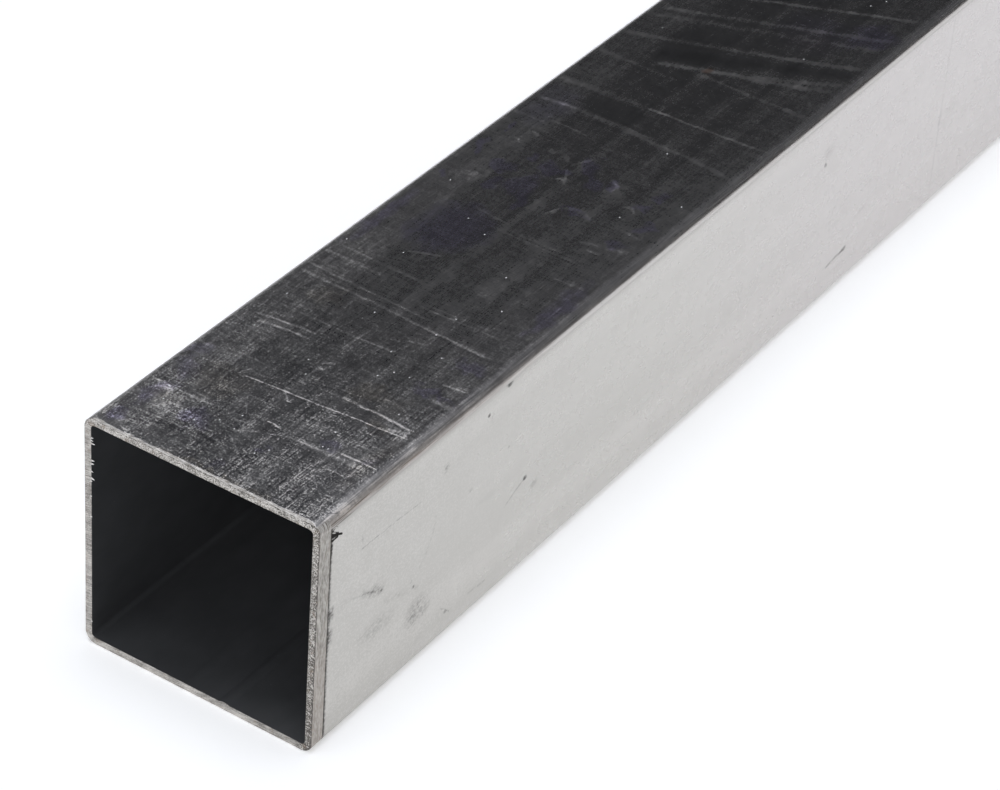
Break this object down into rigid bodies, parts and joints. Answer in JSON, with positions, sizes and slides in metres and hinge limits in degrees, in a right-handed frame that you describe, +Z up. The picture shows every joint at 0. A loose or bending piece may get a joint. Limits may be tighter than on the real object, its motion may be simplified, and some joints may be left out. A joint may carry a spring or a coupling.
{
  "type": "square steel tube",
  "caption": "Length of square hollow steel section with rounded corners and open sawn ends, used as a strut, rail, leg or frame member.",
  "frame": {"origin": "middle of the base face, at half the tube's length", "axes": "+Y along the tube, away from the dressed end; +Z up from the base face, the weld seam's side; +X towards the face with the dressed strip"},
  "size_m": [0.05, 1, 0.05],
  "materials": {
    "steel": "bare cold-rolled mild steel, mill finish with fine rolling grain, scuffs and drawn lines"
  },
  "bodies": {
    "root": {"tube": "steel"}
  },
  "joints": []
}
